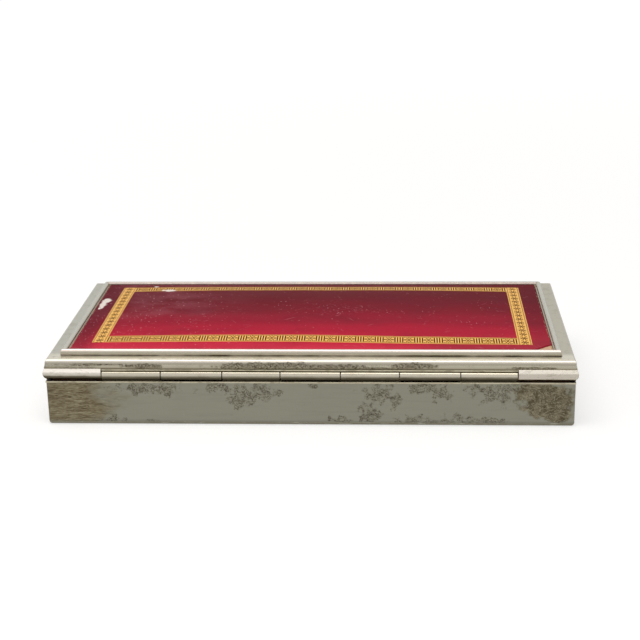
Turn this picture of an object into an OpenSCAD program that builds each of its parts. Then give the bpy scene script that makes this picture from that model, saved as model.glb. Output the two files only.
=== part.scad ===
// Flat silver-plated silverware chest: a low rectangular box with a hinged, moulded lid.
// The lid carries a padded leather panel in a raised frame. The hinge runs along the rear.
// Origin: middle of the underside. +X to the right and +Y to the rear, seen from the front.
// In the profiles, "out" is measured outwards from the outer face of the body's wall.

/* [Body] */
// Length of the box along the hinge
box_w = 300; // [220:1:400]
// Depth of the box from front to hinge
box_d = 149; // [110:1:220]
// Height of the body up to the top of its rim
body_h = 26.5; // [22:0.5:60]
// Thickness of the sheet the body is folded from
wall_t = 1; // [0.8:0.1:1.4]
// Thickness of the base plate, which is also the radius of its rounded edge
base_t = 1.8; // [1.2:0.1:2.4]
// Height of the flat wire soldered round the rim
rim_t = 0.9; // [0.6:0.1:1.4]
// Width of that wire
rim_w = 2.4; // [1.6:0.1:2.6]

/* [Lid] */
// Height from the body's rim to the lid's flat ledge
lid_h = 12.6; // [11:0.1:20]
// Thickness of the drawn sheet moulding
moulding_t = 1; // [0.8:0.1:1.2]
// Radius of the moulding's upper shoulder
shoulder_r = 1.5; // [0.5:0.1:1.6]
// How far the hollow face below the shoulder flares out
cove_flare = 0.7; // [0.4:0.1:1]
// Height of the bead's lower edge above the body's rim
bead_up = 1.5; // [0.8:0.1:1.6]
// Width of the half-round bead round the lid
bead_h = 6.3; // [5.5:0.1:7]
// How far the bead stands out
bead_out = 1.2; // [0.8:0.1:1.4]
// Thickness of the flat plate under the ledge
plate_t = 0.9; // [0.6:0.1:1.4]

/* [Raised frame and leather] */
// Width of the flat ledge outside the raised frame
ledge_w = 7.8; // [5:0.1:12]
// Width of the raised half-round frame
frame_w = 3.1; // [2.4:0.1:4.5]
// Height of the raised frame above the ledge
frame_h = 3.5; // [2:0.1:4]
// Height of the frame's rounded top
frame_round = 1.25; // [0.9:0.05:1.5]
// Width of the thin lip inside the raised frame
lip_w = 0.7; // [0.5:0.1:1.2]
// Height of that lip above the ledge
lip_h = 1.5; // [0.8:0.1:1.8]
// Thickness of the board behind the leather
board_t = 2.6; // [1:0.1:2.8]
// Thickness of the leather
leather_t = 0.8; // [0.5:0.1:1.2]
// Rise of the padded leather from its edge to its middle
crown_h = 3.2; // [1.4:0.1:4]
// Distance from the leather's edge to the flat of its crown
crown_w = 30; // [16:1:40]

/* [Hinge] */
// Height of the hinge's axis above the body's rim
hinge_up = 3.3; // [3.3:0.1:3.8]
// Radius of the hinge barrel
barrel_r = 3; // [2:0.1:3]
// Radius of the hinge pin
pin_r = 0.9; // [0.6:0.1:1.2]
// Number of knuckles, an odd number, of which the body holds one more than the lid
knuckles = 7; // [3:2:9]
// Radial clearance of the pin in the barrel
pin_gap = 0.05; // [0.03:0.01:0.08]
// Gap between neighbouring knuckles
knuckle_gap = 0.5; // [0.2:0.1:0.6]

/* [Interior] */
// Thickness of the floor board
floor_board_t = 2.5; // [1.5:0.5:4]
// Thickness of the wooden lining
liner_t = 3; // [2:0.5:5]
// Height of the wooden lining above the rim
liner_up = 3; // [1:0.5:3.5]
// Thickness of the floor pad
floor_pad_t = 1.5; // [1:0.5:3]
// Height of the cutlery racks
rack_h = 14; // [10:1:16]
// Width of each rack along the box
rack_w = 12; // [8:1:20]
// Distance between the middles of the two racks
rack_span = 156; // [100:1:180]
// Number of notches in each rack
notches = 6; // [3:1:6]
// Width of one notch
notch_w = 12; // [8:1:12]
// Depth of one notch
notch_h = 9; // [6:0.5:9]
// Thickness of the padded lining in the lid
lid_pad_t = 3.2; // [2:0.2:3.4]
// Distance from the board's edge to the padded lining
lid_pad_inset = 1; // [0.5:0.5:4]
// Thickness of the board that carries it
lid_board_t = 2; // [1:0.2:2.2]

/* [Hidden] */
// Clearances: parting line, parts let in, mitred ends, swing of the lid past the barrel
part_gap = 0.3;
let_in = 0.2;
mitre_gap = 0.04;
swing_gap = 0.2;
eps = 0.01;
arc_steps = 12;
$fn = 48;

// The hinge was cut by hand: how far each joint between two knuckles lies off an even pitch
joint_off = [0, -1.6, -1, -1.4, -1, -1.6, -0.2];

// Levels, from the table up
wall_top = body_h - rim_t;
skirt_z = body_h + part_gap;
ledge_z = body_h + lid_h;
plate_top = ledge_z - moulding_t;
bead_z = body_h + bead_up;
bead_top = bead_z + bead_h;
frame_top = ledge_z + frame_h;
board_z = plate_top + board_t;
floor_top = base_t + floor_board_t;
liner_top = body_h + liner_up;
pad_top = floor_top + floor_pad_t;
lid_board_z = plate_top - plate_t - lid_board_t;
lid_pad_z = lid_board_z - lid_pad_t;

// Places measured outwards from the wall's outer face
shelf_out = 0.5;
foot_out = shelf_out;
shoulder_out = foot_out - cove_flare;
frame_out = -ledge_w;
well_out = -(ledge_w + frame_w + lip_w);
barrel_out = -1.6;

// Hinge line, and what clears it
hinge_y = box_d / 2 + barrel_out;
hinge_z = body_h + hinge_up;
bearer_z = hinge_z + barrel_r + swing_gap;
bearer_t = 0.8;
leg_t = 0.9;
leg_out = barrel_out - barrel_r - part_gap;
leg_top = hinge_z + 1;
pitch = (box_w + 2 * bead_out) / (knuckles + 2);
hinge_w = knuckles * pitch;
web_w = 1.6;
relief_out = barrel_out - 2 * let_in;

// Plan sizes of the lining
liner_out = -(rim_w + let_in);
rear_liner_out = leg_out - leg_t - let_in;
inner_w = box_w + 2 * (liner_out - liner_t);
inner_front = -box_d / 2 - liner_out + liner_t;
inner_rear = box_d / 2 + rear_liner_out - liner_t;
inner_d = inner_rear - inner_front;
inner_y = (inner_rear + inner_front) / 2;
floor_inset = wall_t + let_in;
rack_l = inner_d - 2 * let_in;
notch_pitch = rack_l / notches;

// Plan sizes of the leather
panel_w = box_w + 2 * (well_out - part_gap);
panel_d = box_d + 2 * (well_out - part_gap);

silver = [0.71, 0.69, 0.64];
tarnish = [0.55, 0.53, 0.47];
wood = [0.45, 0.27, 0.15];
velvet = [0.33, 0.05, 0.09];
satin = [0.86, 0.80, 0.68];
red_leather = [0.52, 0.06, 0.11];

// Points along an arc about c, from angle a to angle b
function arc(c, r, a, b) =
    [for (i = [0:arc_steps]) c + r * [cos(a + (b - a) * i / arc_steps), sin(a + (b - a) * i / arc_steps)]];

// Radius of the arc over a chord, and half the angle it spans
function bow_r(chord, rise) = (chord * chord / 4 + rise * rise) / (2 * rise);
function bow_a(chord, rise) = asin(chord / 2 / bow_r(chord, rise));

module rounded_rect(w, d, r) {
    square([w - 2 * r, d], center = true);
    square([w, d - 2 * r], center = true);
    for (x = [-1, 1], y = [-1, 1])
        translate([x * (w / 2 - r), y * (d / 2 - r)]) circle(r);
}

// Turns what is drawn for the rear (outwards is +Y) to another side
module to_side(side) {
    turn = side == "rear" ? 0 : side == "front" ? 180 : side == "right" ? -90 : 90;
    rotate([0, 0, turn]) children();
}

function across(side) = (side == "rear" || side == "front" ? box_d : box_w) / 2;
function along(side) = (side == "rear" || side == "front" ? box_w : box_d) / 2;

// Runs a profile along one side of the box, with its ends cut to 45 degrees
module mitred_run(side) {
    reach = 20;
    inner = along(side) - reach;
    outer = along(side) + reach;
    to_side(side)
        intersection() {
            translate([-outer, across(side), 0])
                rotate([90, 0, 90])
                    linear_extrude(2 * outer) children();
            linear_extrude(frame_top + reach)
                polygon([
                    [-inner + mitre_gap, across(side) - reach],
                    [inner - mitre_gap, across(side) - reach],
                    [outer - mitre_gap, across(side) + reach],
                    [-outer + mitre_gap, across(side) + reach]
                ]);
        }
}

// Body

module base_plate() {
    color(silver)
        intersection() {
            union() {
                linear_extrude(2 * base_t) square([box_w - 2 * base_t, box_d - 2 * base_t], center = true);
                for (side = ["front", "rear", "left", "right"])
                    to_side(side)
                        translate([0, across(side) - base_t, base_t])
                            rotate([0, 90, 0])
                                cylinder(r = base_t, h = 2 * (along(side) - base_t), center = true);
                for (x = [-1, 1], y = [-1, 1])
                    translate([x * (box_w / 2 - base_t), y * (box_d / 2 - base_t), base_t])
                        sphere(base_t);
            }
            linear_extrude(base_t) square([2 * box_w, 2 * box_d], center = true);
        }
}

module body_walls() {
    color(tarnish)
        translate([0, 0, base_t])
            linear_extrude(wall_top - base_t)
                difference() {
                    rounded_rect(box_w, box_d, base_t);
                    rounded_rect(box_w - 2 * wall_t, box_d - 2 * wall_t, base_t - wall_t);
                }
}

// Flat wire round the front and sides of the rim; the bearer closes the rear
module rim_wire() {
    rear_cut = -leg_out + leg_t;
    color(silver)
        translate([0, 0, wall_top])
            linear_extrude(rim_t)
                difference() {
                    rounded_rect(box_w, box_d, base_t);
                    square([box_w - 2 * rim_w, box_d - 2 * rim_w], center = true);
                    translate([-box_w, box_d / 2 - rear_cut]) square([2 * box_w, 2 * rear_cut]);
                }
}

// Strip on the rear rim: a shelf under the barrel and a leg that rises behind it
module body_bearer() {
    depth = -leg_out + leg_t;
    color(silver) {
        translate([-box_w / 2, box_d / 2 - depth, wall_top])
            cube([box_w, depth + shelf_out, rim_t]);
        translate([-hinge_w / 2 + knuckle_gap, box_d / 2 - depth, body_h - eps])
            cube([hinge_w - 2 * knuckle_gap, leg_t, leg_top - body_h]);
    }
}

// Place of the joint after this many knuckles; the last is the end of the hinge
function joint_x(index) =
    -hinge_w / 2 + index * pitch + (index < min(knuckles, len(joint_off)) ? joint_off[index] : 0);

// One knuckle, counted from the left; "down" knuckles stand on the body, others hang from the lid
module knuckle(index, down) {
    length = joint_x(index) - joint_x(index - 1) - knuckle_gap;
    middle = (joint_x(index) + joint_x(index - 1)) / 2;
    foot_z = down ? body_h : hinge_z + pin_r;
    foot_h = down ? hinge_z - pin_r - body_h : bearer_z - hinge_z - pin_r;
    color(silver)
        difference() {
            union() {
                translate([middle, hinge_y, hinge_z])
                    rotate([0, 90, 0]) cylinder(r = barrel_r, h = length, center = true);
                translate([middle - length / 2, hinge_y - web_w / 2, foot_z])
                    cube([length, web_w, foot_h]);
            }
            translate([middle, hinge_y, hinge_z])
                rotate([0, 90, 0]) cylinder(r = pin_r + pin_gap, h = 2 * length, center = true);
        }
}

module hinge_pin() {
    color("dimgray")
        translate([0, hinge_y, hinge_z])
            rotate([0, 90, 0])
                cylinder(r = pin_r, h = hinge_w - knuckle_gap, center = true);
}

// Lining of the body

module liner_floor() {
    color(wood)
        translate([0, 0, base_t])
            linear_extrude(floor_top - base_t)
                rounded_rect(box_w - 2 * floor_inset, box_d - 2 * floor_inset, base_t - wall_t);
}

// A lining board between two Y values, over the whole length
module long_liner(y_low) {
    length = box_w + 2 * liner_out;
    color(wood)
        translate([-length / 2, y_low, floor_top])
            cube([length, liner_t, liner_top - floor_top]);
}

module side_liner(x_sign) {
    color(wood)
        translate([x_sign * (inner_w + liner_t) / 2, inner_y, (floor_top + liner_top) / 2])
            cube([liner_t, inner_d, liner_top - floor_top], center = true);
}

module floor_pad() {
    color(velvet)
        translate([0, inner_y, floor_top])
            linear_extrude(floor_pad_t)
                square([inner_w - 2 * let_in, inner_d - 2 * let_in], center = true);
}

// Bar across the box, notched so that a row of handles lies in it
module rack(x_sign) {
    notch_r = notch_w / 2;
    rack_top = pad_top + rack_h;
    color(velvet)
        translate([x_sign * rack_span / 2, inner_y, 0])
            difference() {
                translate([-rack_w / 2, -rack_l / 2, pad_top]) cube([rack_w, rack_l, rack_h]);
                for (i = [1:notches]) {
                    y = -rack_l / 2 + (i - 0.5) * notch_pitch;
                    translate([0, y, rack_top - notch_h + notch_r])
                        rotate([0, 90, 0]) cylinder(r = notch_r, h = 2 * rack_w, center = true);
                    translate([-rack_w, y - notch_r, rack_top - notch_h + notch_r])
                        cube([2 * rack_w, notch_w, notch_h]);
                }
            }
}

// Lid

module lid_plate() {
    inset = moulding_t + let_in;
    color(silver)
        translate([0, 0, plate_top - plate_t])
            linear_extrude(plate_t)
                square([box_w - 2 * inset, box_d - 2 * inset], center = true);
}

// Sheet moulding: flat ledge, round shoulder, hollow face and plain skirt behind the bead
module moulding_profile(skirt_bottom) {
    cove_top = ledge_z - shoulder_r;
    cove_drop = cove_top - bead_top;
    cove_r = (cove_drop * cove_drop + cove_flare * cove_flare) / (2 * cove_flare);
    cove_a = asin(cove_drop / cove_r);
    polygon(concat(
        [[well_out, ledge_z]],
        arc([shoulder_out - shoulder_r, cove_top], shoulder_r, 90, 0),
        arc([shoulder_out + cove_r, cove_top], cove_r, 180, 180 + cove_a),
        [
            [0, bead_top],
            [0, skirt_bottom],
            [-moulding_t, skirt_bottom],
            [-moulding_t, plate_top],
            [well_out, plate_top]
        ]
    ));
}

// The sides stop short below the bead at the rear, so that the lid can swing
module moulding_side(side) {
    color(silver)
        difference() {
            mitred_run(side) moulding_profile(skirt_z);
            translate([-box_w, box_d / 2 + relief_out, skirt_z - eps])
                cube([2 * box_w, box_d, bead_z - skirt_z + eps]);
        }
}

module moulding_rear() {
    color(silver)
        difference() {
            mitred_run("rear") moulding_profile(bead_z);
            translate([-hinge_w / 2, box_d / 2 - 2 * moulding_t, bead_z - eps])
                cube([hinge_w, 4 * moulding_t, bearer_z + bearer_t - bead_z + eps]);
        }
}

module bead_profile() {
    r = bow_r(bead_h, bead_out);
    half = bow_a(bead_h, bead_out);
    polygon(arc([bead_out - r, bead_z + bead_h / 2], r, -half, half));
}

module bead(side) {
    color(silver) mitred_run(side) bead_profile();
}

// Short lengths of bead at the two ends of the hinge
module bead_rear(x_sign) {
    color(silver)
        intersection() {
            mitred_run("rear") bead_profile();
            translate([x_sign * (hinge_w / 2 + knuckle_gap / 2 + box_w / 2), box_d / 2, 0])
                cube([box_w, box_d, 4 * ledge_z], center = true);
        }
}

// Raised frame: a half-round strip with a thin lip on its inner side
module frame_profile() {
    r = bow_r(frame_w, frame_round);
    half = bow_a(frame_w, frame_round);
    polygon(concat(
        [[frame_out, ledge_z]],
        arc([frame_out - frame_w / 2, frame_top - r], r, 90 - half, 90 + half),
        [
            [frame_out - frame_w, ledge_z + lip_h],
            [well_out, ledge_z + lip_h],
            [well_out, ledge_z]
        ]
    ));
}

module frame_strip(side) {
    color(silver) mitred_run(side) frame_profile();
}

// Strip under the rear moulding that the lid's knuckles hang from
module lid_bearer() {
    depth = foot_out - leg_out;
    color(silver)
        translate([-hinge_w / 2 + let_in, box_d / 2 + leg_out, bearer_z])
            cube([hinge_w - 2 * let_in, depth, bearer_t]);
}

module backing_board() {
    color("tan")
        translate([0, 0, plate_top])
            linear_extrude(board_t) square([panel_w, panel_d], center = true);
}

// Low block with sloping edges: the padded shape, inset, with the height of its edge and middle
module crowned_block(inset, edge, rise) {
    hull() {
        translate([0, 0, board_z])
            linear_extrude(edge) square([panel_w - 2 * inset, panel_d - 2 * inset], center = true);
        translate([0, 0, board_z + rise - eps])
            linear_extrude(eps)
                square([panel_w - 2 * crown_w, panel_d - 2 * crown_w], center = true);
    }
}

module wadding() {
    color("ivory") crowned_block(2 * leather_t, eps, crown_h - leather_t);
}

module leather_panel() {
    color(red_leather)
        difference() {
            crowned_block(0, leather_t, crown_h);
            crowned_block(2 * leather_t, eps, crown_h - leather_t);
        }
}

module lid_board() {
    color(wood)
        translate([0, inner_y, lid_board_z])
            linear_extrude(lid_board_t) square([inner_w, inner_d], center = true);
}

module lid_pad() {
    color(satin)
        translate([0, inner_y, lid_pad_z])
            linear_extrude(lid_pad_t)
                square([inner_w - 2 * lid_pad_inset, inner_d - 2 * lid_pad_inset], center = true);
}

base_plate();
body_walls();
rim_wire();
body_bearer();
for (i = [1:4])
    knuckle(2 * i - 1, true);
hinge_pin();
liner_floor();
long_liner(inner_front - liner_t);  // liner_front
long_liner(inner_rear);  // liner_rear
side_liner(-1);  // liner_left
side_liner(1);  // liner_right
floor_pad();
rack(-1);  // rack_left
rack(1);  // rack_right
lid_plate();
moulding_side("front");  // moulding_front
moulding_rear();
moulding_side("left");  // moulding_left
moulding_side("right");  // moulding_right
bead("front");  // bead_front
bead("left");  // bead_left
bead("right");  // bead_right
bead_rear(-1);  // bead_rear_left
bead_rear(1);  // bead_rear_right
frame_strip("front");  // frame_front
frame_strip("rear");  // frame_rear
frame_strip("left");  // frame_left
frame_strip("right");  // frame_right
lid_bearer();
for (i = [1:3])
    knuckle(2 * i, false);
backing_board();
wadding();
leather_panel();
lid_board();
lid_pad();
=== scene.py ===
import math

import bpy
from mathutils import Matrix, Vector, noise


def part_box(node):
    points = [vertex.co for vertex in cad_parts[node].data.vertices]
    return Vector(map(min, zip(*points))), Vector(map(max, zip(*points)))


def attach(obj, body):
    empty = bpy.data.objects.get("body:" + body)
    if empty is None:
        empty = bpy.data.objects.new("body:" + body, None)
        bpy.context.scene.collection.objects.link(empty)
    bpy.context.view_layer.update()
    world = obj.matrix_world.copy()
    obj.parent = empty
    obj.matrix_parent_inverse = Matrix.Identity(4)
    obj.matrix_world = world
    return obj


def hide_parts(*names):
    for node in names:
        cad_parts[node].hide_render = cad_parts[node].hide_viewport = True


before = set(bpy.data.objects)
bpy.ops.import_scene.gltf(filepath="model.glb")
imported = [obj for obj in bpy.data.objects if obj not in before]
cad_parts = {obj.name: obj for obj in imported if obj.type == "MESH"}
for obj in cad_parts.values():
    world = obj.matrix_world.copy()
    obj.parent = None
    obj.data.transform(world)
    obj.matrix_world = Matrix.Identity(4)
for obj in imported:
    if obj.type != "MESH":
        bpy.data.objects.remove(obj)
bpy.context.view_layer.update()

MM = 0.001


def low_high(node):
    """Lowest and highest corner of a CAD node, in millimetres."""
    low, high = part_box(node)
    return low / MM, high / MM


# Places on the chest, in millimetres, from the frame. Right is +X, and rear is +Y, the hinge's side.
# The photograph looks at the rear, so it shows the chest's right on its own left.
WALL_LOW, WALL_HIGH = low_high("body_walls")
PAD_LOW, PAD_HIGH = low_high("floor_pad")
LID_PAD_LOW, LID_PAD_HIGH = low_high("lid_pad")
PANEL_HIGH = low_high("leather_panel")[1]
PANEL_X = PANEL_HIGH.x
PANEL_Y = PANEL_HIGH.y
BOARD_Z = low_high("backing_board")[1].z
LEDGE_Z = low_high("moulding_front")[1].z
BEAD_TOP = low_high("bead_rear_left")[1].z
FRAME_TOP = low_high("frame_rear")[1].z
FRAME_X = low_high("frame_right")[1].x
FRAME_Y = low_high("frame_rear")[1].y

# The lid's satin lining: the width of its channels, its mesh, and the stitches along its seams
CHANNEL = 17.8
SATIN_PITCH_X = 1.1
SATIN_PITCH_Y = 1.8
STITCH = 1.9
STITCH_PITCH = 3.0
STITCH_RADIUS = 0.16
SEAM_MARGIN = 4.0

# The leather: a low dome between its four edges, with a rounded turn at each edge
LEATHER_T = 0.8
EDGE_Z = BOARD_Z + LEATHER_T
DOME_REACH_X = 110.0
DOME_REACH_Y = 45.0
DOME_RISE = PANEL_HIGH.z - EDGE_Z - 0.05
EDGE_ROLL = 0.7

# The corner where the leather has torn away, at the rear on the left, and how far the pull reaches
TEAR_X = 11.7
TEAR_Y = 9.8
TEAR_FADE = 40.0
TEAR_ROWS = 16

# The gilt border: its outer rectangle and the widths of its bands
BORDER_X = 127.0
BORDER_REAR = 51.5
BORDER_FRONT = -54.8
REAR_BAND = 10.0
FRONT_BAND = 8.8
END_BAND = 8.0
# The rear band was laid askew: how far it runs off, and where along X that starts and ends
SKEW = 2.6
SKEW_FROM = 20.0
SKEW_TO = -70.0
# Height of the gold above the leather, and of the bare figures above it
FOIL_LIFT = 0.05
TOOL_LIFT = 0.09

# The camera, as the photograph was taken
PHOTO_SIDE = 640
FOCAL_PIXELS = 1447.6
SENSOR = 36.0
CAMERA_AT = Vector((-0.0518, 0.8358, 0.3194))
CAMERA_LOOKS = Vector((0.05539, -0.94634, -0.31838)).normalized()
CAMERA_ROLL = math.radians(-1.01)


def srgb(red, green, blue):
    """A colour written as 0 to 255, as the linear colour that shaders use."""
    def linear(value):
        share = value / 255
        return share / 12.92 if share <= 0.04045 else ((share + 0.055) / 1.055) ** 2.4
    return (linear(red), linear(green), linear(blue), 1.0)


# Shaders

def clean_tree(owner):
    """The empty node tree of a material or world."""
    owner.use_nodes = True
    owner.node_tree.nodes.clear()
    return owner.node_tree


def add_node(tree, kind, sockets=None, **settings):
    """A new shader node. sockets has a value or a link for each socket's name or number."""
    node = tree.nodes.new("ShaderNode" + kind)
    for key, value in settings.items():
        setattr(node, key, value)
    for key, value in (sockets or {}).items():
        if isinstance(value, bpy.types.NodeSocket):
            tree.links.new(value, node.inputs[key])
        else:
            node.inputs[key].default_value = value
    return node


class Finish:
    """One material: its node tree, and short calls for the nodes that the finishes use."""

    def __init__(self, name):
        self.material = bpy.data.materials.new(name)
        self.tree = clean_tree(self.material)
        place = self.add("TexCoord")
        self.mm = self.vector("MULTIPLY", place.outputs["Object"], (1 / MM,) * 3)
        self.x, self.y, self.z = self.split(self.mm)
        self.nx, self.ny, self.nz = self.split(place.outputs["Normal"])

    def add(self, kind, sockets=None, **settings):
        return add_node(self.tree, kind, sockets, **settings)

    def split(self, vector):
        return tuple(self.add("SeparateXYZ", {0: vector}).outputs)

    def join(self, x, y, z):
        return self.add("CombineXYZ", {0: x, 1: y, 2: z}).outputs[0]

    def math(self, operation, first, second=0.0, clamp=False):
        sockets = {0: first, 1: second}
        return self.add("Math", sockets, operation=operation, use_clamp=clamp).outputs[0]

    def vector(self, operation, first, second):
        return self.add("VectorMath", {0: first, 1: second}, operation=operation).outputs[0]

    def by(self, first, second):
        return self.math("MULTIPLY", first, second)

    def sum(self, first, second):
        return self.math("ADD", first, second)

    def less(self, first, second):
        return self.math("SUBTRACT", first, second)

    def times(self, first, second):
        """The product, kept from 0 to 1."""
        return self.math("MULTIPLY", first, second, clamp=True)

    def plus(self, first, second):
        """The sum, kept from 0 to 1."""
        return self.math("ADD", first, second, clamp=True)

    def flip(self, value):
        return self.math("SUBTRACT", 1.0, value, clamp=True)

    def about_zero(self, noise_value, width):
        """Noise of 0 to 1, as a number that sways about zero over this width."""
        return self.by(self.less(noise_value, 0.5), width)

    def step(self, value, low, high):
        """0 below low and 1 above high, with a smooth change between; low may be above high."""
        start, end = (1.0, 0.0) if low > high else (0.0, 1.0)
        node = self.add("MapRange", {
            "Value": value, "From Min": min(low, high), "From Max": max(low, high),
            "To Min": start, "To Max": end,
        }, interpolation_type="SMOOTHSTEP")
        return node.outputs[0]

    def scale(self, share, low, high):
        """A number that runs from low to high as share runs from 0 to 1."""
        sockets = {"Value": share, "To Min": low, "To Max": high}
        return self.add("MapRange", sockets).outputs[0]

    def place(self, size, stretch, shift):
        """The place in units of size millimetres, stretched along the axes and moved by shift."""
        place = self.vector("MULTIPLY", self.mm, tuple(1 / (size * s) for s in stretch))
        return self.vector("ADD", place, shift)

    def noise(self, size, detail=3.0, rough=0.5, stretch=(1, 1, 1), warp=0.0, seed=0.0):
        """Noise from 0 to 1, with features of about size millimetres, stretched along the axes."""
        node = self.add("TexNoise", {
            "Vector": self.place(size, stretch, (seed, seed * 1.7, seed * 0.6)),
            "Scale": 1.0, "Detail": detail, "Roughness": rough, "Distortion": warp,
        })
        return node.outputs[0]

    def cells(self, size, feature="F1", stretch=(1, 1, 1), seed=0.0):
        """Distance in a pattern of cells of about size millimetres."""
        sockets = {"Vector": self.place(size, stretch, (seed, seed, seed)), "Scale": 1.0}
        return self.add("TexVoronoi", sockets, feature=feature).outputs["Distance"]

    def worms(self, size, width, stretch=(1, 1, 1), seed=0.0, warp=1.2):
        """Thin winding lines, as tarnish creeps over plate."""
        field = self.noise(size, 4.0, 0.62, stretch, warp, seed)
        off = self.math("ABSOLUTE", self.less(field, 0.5))
        return self.step(off, width, width * 0.35)

    def spots(self, u, v, places, ragged, size, seed=0.0):
        """Soft patches with ragged edges, at places given as (u, v, half width, half height)."""
        total = -9.0  # well outside every patch
        for cu, cv, half_u, half_v in places:
            away = self.vector("SUBTRACT", self.join(u, v, 0.0), (cu, cv, 0.0))
            away = self.vector("MULTIPLY", away, (1 / half_u, 1 / half_v, 0.0))
            length = self.add("VectorMath", {0: away}, operation="LENGTH").outputs["Value"]
            total = self.math("MAXIMUM", total, self.less(1.0, length))
        blur = self.about_zero(self.noise(size, 4.0, 0.6, seed=seed), 2 * ragged)
        return self.step(self.sum(total, blur), 0.0, 0.3)

    def mix(self, share, first, second):
        return self.add("Mix", {0: share, 6: first, 7: second}, data_type="RGBA").outputs[2]

    def over(self, colour, coat, share, strength):
        """A colour with a coat over a share of it, at this strength."""
        return self.mix(self.times(share, strength), colour, coat)

    def ramp(self, value, stops):
        """A colour that runs through (place, colour) stops."""
        low, high = stops[0][0], stops[-1][0]
        share = self.add("MapRange", {"Value": value, "From Min": low, "From Max": high})
        node = self.add("ValToRGB", {0: share.outputs[0]})
        band = node.color_ramp
        band.interpolation = "EASE"
        while len(band.elements) < len(stops):
            band.elements.new(0.5)
        # A new position can change the order of the elements, so the colours come after all of them
        for element, (place, colour) in zip(band.elements, stops):
            element.position = (place - low) / (high - low)
        for element, (place, colour) in zip(band.elements, stops):
            element.color = colour
        return node.outputs[0]

    def bump(self, height, depth, under=None):
        """A normal from a height of 0 to 1 that stands for depth millimetres."""
        sockets = {"Distance": depth * MM, "Height": height}
        if under is not None:
            sockets["Normal"] = under
        return self.add("Bump", sockets).outputs[0]

    def finish(self, base, roughness, normal, **constants):
        """The surface shader. constants are the names of its sockets, with _ for a space."""
        sockets = {"Base Color": base, "Roughness": roughness, "Normal": normal}
        for key, value in constants.items():
            sockets[key.replace("_", " ")] = value
        shader = self.add("BsdfPrincipled", sockets)
        self.add("OutputMaterial", {"Surface": shader.outputs[0]})
        return self.material


# Colours of the plate, bright to dark: tarnish, and also painted highlights and painted shade
CREAM = srgb(250, 242, 231)
PALE = srgb(232, 224, 210)
SHOULDER = srgb(210, 202, 188)
FILM = srgb(214, 212, 201)
DULL = srgb(196, 188, 170)
GREY = srgb(172, 166, 148)
OLIVE = srgb(140, 130, 106)
BROWN = srgb(92, 79, 58)
# The darkest colour: painted shade under the beads and at the frames' feet, together with tarnish
SHADE_AND_TARNISH = srgb(40, 34, 27)
SIDE_SHADE = srgb(192, 190, 178)
# The white ground under the leather's glaze, where it shows through the gold
GROUND = srgb(236, 228, 220)

# Patches of tarnish that the photograph shows at the rear, in millimetres along X and Z
WALL_PATCHES = [
    (90, 22, 22, 4), (52, 23, 8, 4), (39, 18, 6, 11), (26, 21, 10, 7), (-2, 24, 4, 2), (-38, 20, 9, 7),
    (-49, 14, 4, 5), (-34, 7, 8, 8), (-69, 23, 13, 4), (-75, 21, 7, 6), (-105, 21, 14, 7),
    (-112, 23, 9, 4), (-65, 3, 14, 4), (-95, 3, 15, 4), (-18, 3, 8, 3), (112, 3, 6, 3), (92, 2, 5, 2),
]
CRUST_PATCHES = [(-134, 15, 17, 12), (-126, 20, 12, 8), (-139, 8, 11, 7)]
MOULDING_PATCHES = [
    (20, 35.4, 40, 3.2), (-10, 35.2, 24, 2.4), (-59, 36.0, 13, 2.2), (94, 35.8, 13, 1.6),
    (122, 36.4, 20, 0.8), (-126, 35.0, 16, 0.8), (-40, 34.6, 20, 0.8),
]
# Places where the glaze has flaked off down to its white ground, and a scuffed one, along X and Y
CHIPS = [
    (134.4, -21.0, 2.3, 10.0), (133.4, -27.5, 3.0, 5.5), (96.0, -47.0, 4.0, 2.6),
    (106.5, -56.6, 1.8, 1.4), (100.5, -47.6, 1.6, 1.4), (135.2, -12.0, 0.9, 2.4),
]
SCUFFS = [(-16.0, -3.0, 26.0, 12.0)]


def plate_normal(f, dents):
    """Slow dents from handwork, with fine lines left by drawing and polishing."""
    slow = f.bump(f.noise(9, 1.0, stretch=(2.2, 2.2, 1), seed=3.1), dents)
    return f.bump(f.noise(0.25, 2.0, stretch=(14, 1, 1), seed=8.4), 0.004, slow)


def plated(f, colour, rough, dents):
    return f.finish(colour, rough, plate_normal(f, dents), Metallic=1.0)


def speckle(f, size, share, seed, stretch=(1, 1, 1)):
    """Ragged tarnish that covers about this share, from 0 to 1."""
    coarse = f.noise(size * 5, 3.0, 0.6, stretch, warp=0.4, seed=seed)
    fine = f.noise(size, 4.0, 0.7, stretch, warp=0.8, seed=seed + 5.5)
    both = f.sum(f.by(coarse, 0.55), f.by(fine, 0.45))
    edge = 0.62 - 0.24 * share
    return f.step(both, edge - 0.025, edge + 0.035)


def rear_side(f):
    """1 on the side that the photograph shows, and 0 on the other three."""
    return f.step(f.y, WALL_HIGH.y - 3, WALL_HIGH.y - 2)


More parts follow.
